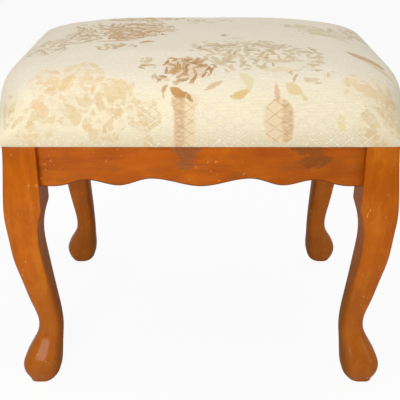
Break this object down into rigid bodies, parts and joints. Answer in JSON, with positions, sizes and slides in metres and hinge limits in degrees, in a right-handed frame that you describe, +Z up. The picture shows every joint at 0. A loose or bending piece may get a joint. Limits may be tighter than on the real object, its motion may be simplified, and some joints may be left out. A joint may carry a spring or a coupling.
{
  "type": "upholstered footstool",
  "caption": "Low upholstered footstool with a domed, fabric-covered seat, curved wooden legs and scalloped aprons.",
  "frame": {"origin": "on the floor under the middle of the stool, midway between the four feet", "axes": "+X to the right seen from the front along the long side, +Y from front to back, +Z up"},
  "size_m": [0.4602, 0.3542, 0.4158],
  "materials": {
    "stained_wood": "satin lacquer",
    "plain_hardwood": "matte",
    "plain_softwood": "matte",
    "plywood": "matte",
    "zinc_plated_steel": "satin",
    "seat_foam": "matte",
    "polyester_wadding": "matte",
    "floral_jacquard": "woven, slight sheen",
    "black_cambric": "matte"
  },
  "bodies": {
    "root": {"leg_front_left": "stained_wood", "leg_front_right": "stained_wood", "leg_rear_left": "stained_wood", "leg_rear_right": "stained_wood", "apron_front": "stained_wood", "apron_rear": "stained_wood", "apron_left": "stained_wood", "apron_right": "stained_wood", "apron_dowels": "plain_hardwood", "corner_block_front_left": "plain_softwood", "corner_block_front_right": "plain_softwood", "corner_block_rear_left": "plain_softwood", "corner_block_rear_right": "plain_softwood", "corner_block_screws": "zinc_plated_steel", "seat_screws": "zinc_plated_steel", "seat_board": "plywood", "seat_foam": "seat_foam", "seat_batting": "polyester_wadding", "seat_cover": "floral_jacquard", "dust_cover": "black_cambric", "cover_staples": "zinc_plated_steel", "dust_cover_staples": "zinc_plated_steel"}
  },
  "joints": []
}
